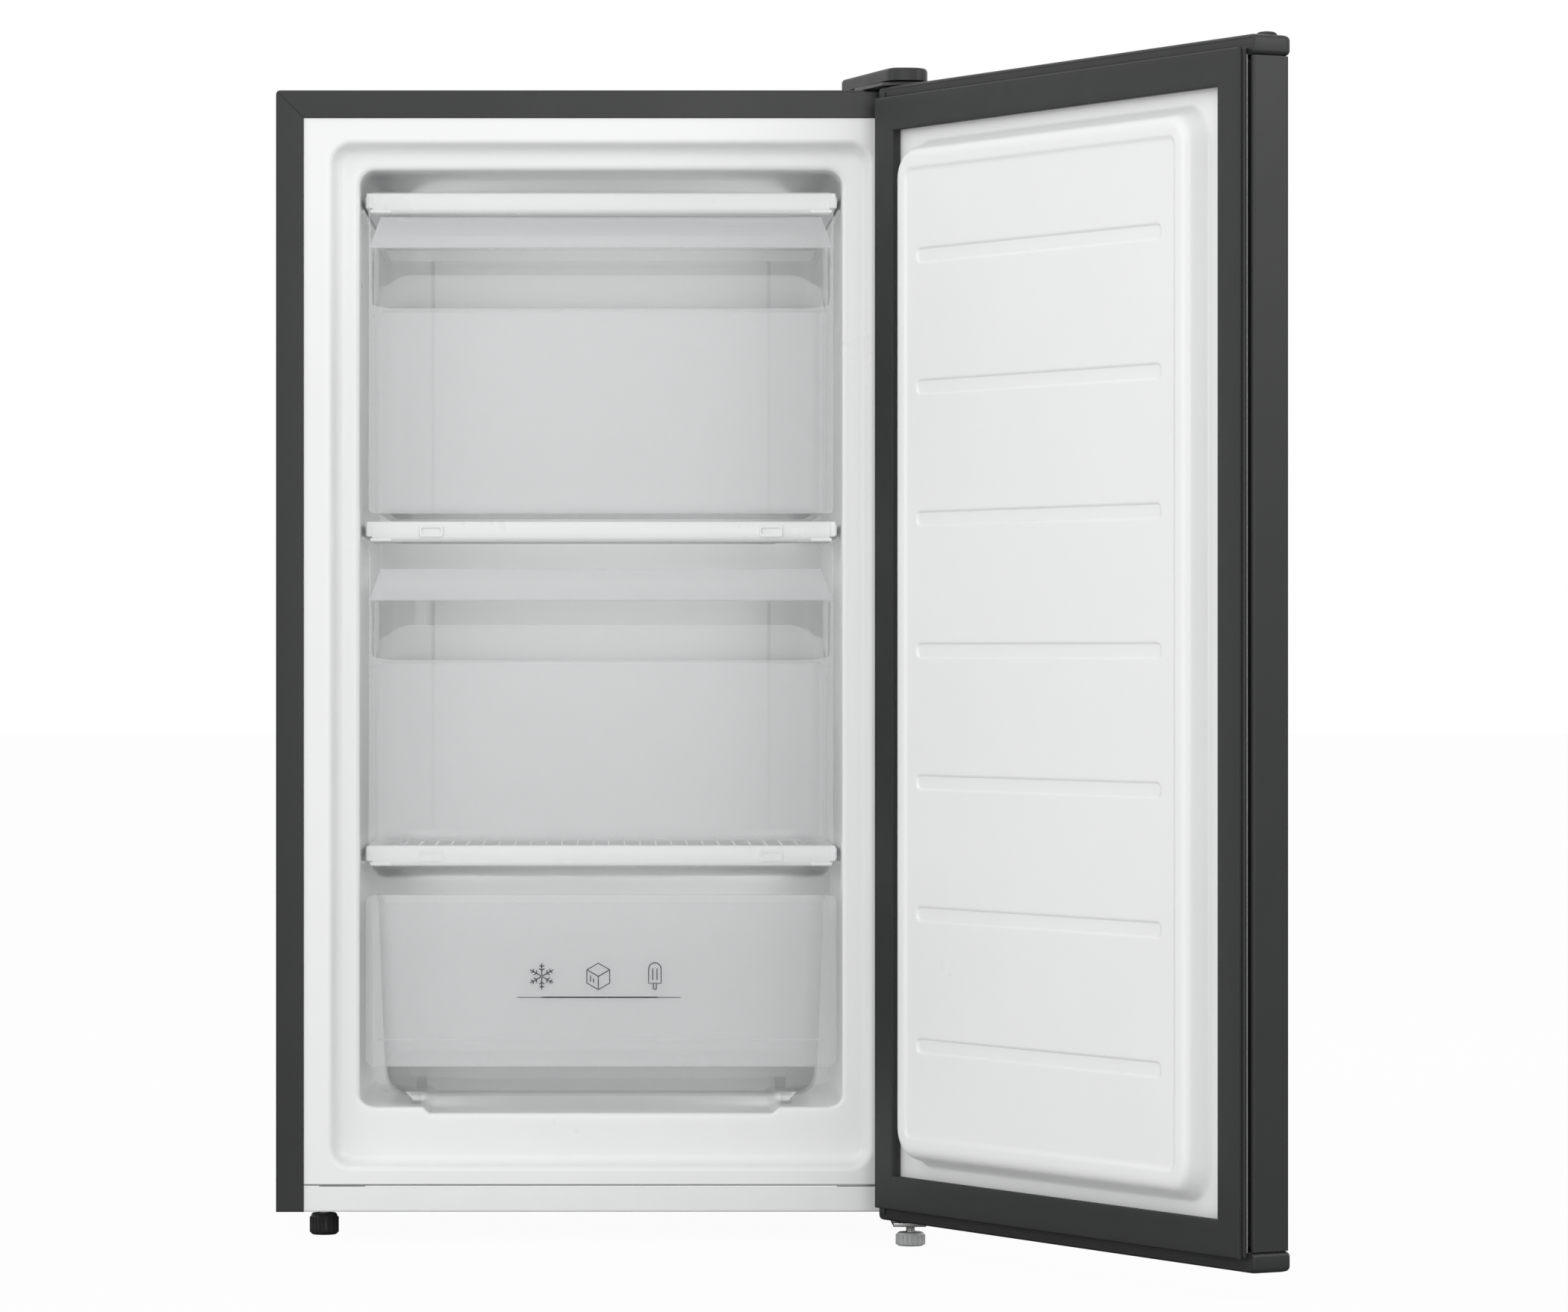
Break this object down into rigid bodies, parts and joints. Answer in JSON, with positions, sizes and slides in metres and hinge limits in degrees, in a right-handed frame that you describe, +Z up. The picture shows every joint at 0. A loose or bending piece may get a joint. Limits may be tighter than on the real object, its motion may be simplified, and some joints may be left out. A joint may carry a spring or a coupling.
{
  "type": "under-counter freezer",
  "caption": "Upright under-counter freezer with a right-hung door, sliding translucent drawers, evaporator shelves and a rear cooling unit.",
  "frame": {"origin": "on the floor, under the middle of the whole freezer with its door open at rest", "axes": "+Z up, -Y out of the cabinet's front, +X towards the hinge side"},
  "size_m": [0.704, 0.8982, 0.863],
  "materials": {
    "charcoal_paint": "fine-textured satin charcoal powder coat",
    "charcoal_plastic": "satin moulded charcoal plastic",
    "gasket_vinyl": "matt charcoal soft vinyl seal",
    "white_plastic": "satin white vacuum-formed or moulded plastic",
    "white_paint": "satin white paint",
    "clear_plastic": "frosted translucent polystyrene",
    "foam": "rigid blown polyurethane foam",
    "galvanised": "zinc-coated sheet",
    "steel": "bright plated steel",
    "black_enamel": "satin black enamel",
    "black_rubber": "matt black rubber",
    "copper": "drawn copper",
    "aluminium": "bare aluminium tube",
    "grey_plastic": "matt grey moulded plastic"
  },
  "bodies": {
    "cabinet": {"cabinet_wrapper": "charcoal_paint", "hinge_cover": "charcoal_plastic", "cabinet_liner": "white_plastic", "shelf_trim_top": "white_plastic", "shelf_trim_middle": "white_plastic", "shelf_trim_bottom": "white_plastic", "kick_rail": "white_paint", "cabinet_foam": "foam", "back_panel": "galvanised", "base_pan": "galvanised", "machine_panel": "galvanised", "compressor_rail": "galvanised", "top_hinge_bracket": "steel", "top_hinge_pin": "steel", "top_hinge_screw_1": "steel", "top_hinge_screw_2": "steel", "top_hinge_screw_3": "steel", "lower_hinge_bracket": "steel", "lower_hinge_pin": "steel", "lower_hinge_screw_1": "steel", "lower_hinge_screw_2": "steel", "compressor": "black_enamel", "condenser_coil": "black_enamel", "coil_bracket_1": "black_enamel", "coil_bracket_2": "black_enamel", "coil_bracket_3": "black_enamel", "coil_bracket_4": "black_enamel", "rubber_mount_1": "black_rubber", "rubber_mount_2": "black_rubber", "rubber_mount_3": "black_rubber", "rubber_mount_4": "black_rubber", "relay_cover": "black_rubber", "cord_gland": "black_rubber", "left_rear_foot": "black_rubber", "right_rear_foot": "black_rubber", "filter_drier": "copper", "discharge_pipe": "copper", "suction_pipe": "copper", "evaporator_top": "aluminium", "evaporator_middle": "aluminium", "evaporator_bottom": "aluminium", "thermostat_box": "grey_plastic"},
    "door": {"door_skin": "charcoal_paint", "door_foam": "foam", "door_liner": "white_plastic", "door_gasket": "gasket_vinyl", "door_top_cap": "charcoal_plastic", "door_bottom_cap": "charcoal_plastic", "door_cap_plug": "black_rubber", "top_hinge_bush": "grey_plastic", "bottom_hinge_bush": "grey_plastic"},
    "top_drawer": {"top_drawer": "clear_plastic", "top_drawer_front": "clear_plastic"},
    "middle_drawer": {"middle_drawer": "clear_plastic", "middle_drawer_front": "clear_plastic"},
    "bottom_drawer": {"bottom_drawer": "clear_plastic", "bottom_drawer_front": "clear_plastic"},
    "thermostat_knob": {"thermostat_knob": "white_plastic"},
    "left_foot": {"left_front_foot": "grey_plastic"},
    "right_foot": {"right_front_foot": "grey_plastic"}
  },
  "joints": [
    {"name": "door_swing", "type": "hinge", "parent": "cabinet", "child": "door", "pos_m": [0.1146, -0.0315, 0.4345], "axis": [0, 0, 1], "range_deg": [-119.06, 10]},
    {"name": "top_drawer_slide", "type": "slide", "parent": "cabinet", "child": "top_drawer", "axis": [0, -1, 0], "range_m": [0, 0.3]},
    {"name": "middle_drawer_slide", "type": "slide", "parent": "cabinet", "child": "middle_drawer", "axis": [0, -1, 0], "range_m": [0, 0.3]},
    {"name": "bottom_drawer_slide", "type": "slide", "parent": "cabinet", "child": "bottom_drawer", "axis": [0, -1, 0], "range_m": [0, 0.18]},
    {"name": "thermostat_turn", "type": "hinge", "parent": "cabinet", "child": "thermostat_knob", "pos_m": [-0.3024, 0.4255, 0.184], "axis": [0, 1, 0], "range_deg": [-135, 135]},
    {"name": "left_foot_screw", "type": "hinge", "parent": "cabinet", "child": "left_foot", "pos_m": [-0.3194, 0.062, 0.008], "axis": [0, 0, 1], "range_deg": [-180, 180]},
    {"name": "right_foot_screw", "type": "hinge", "parent": "cabinet", "child": "right_foot", "pos_m": [0.1146, -0.0315, 0.005], "axis": [0, 0, 1], "range_deg": [-180, 180]}
  ]
}
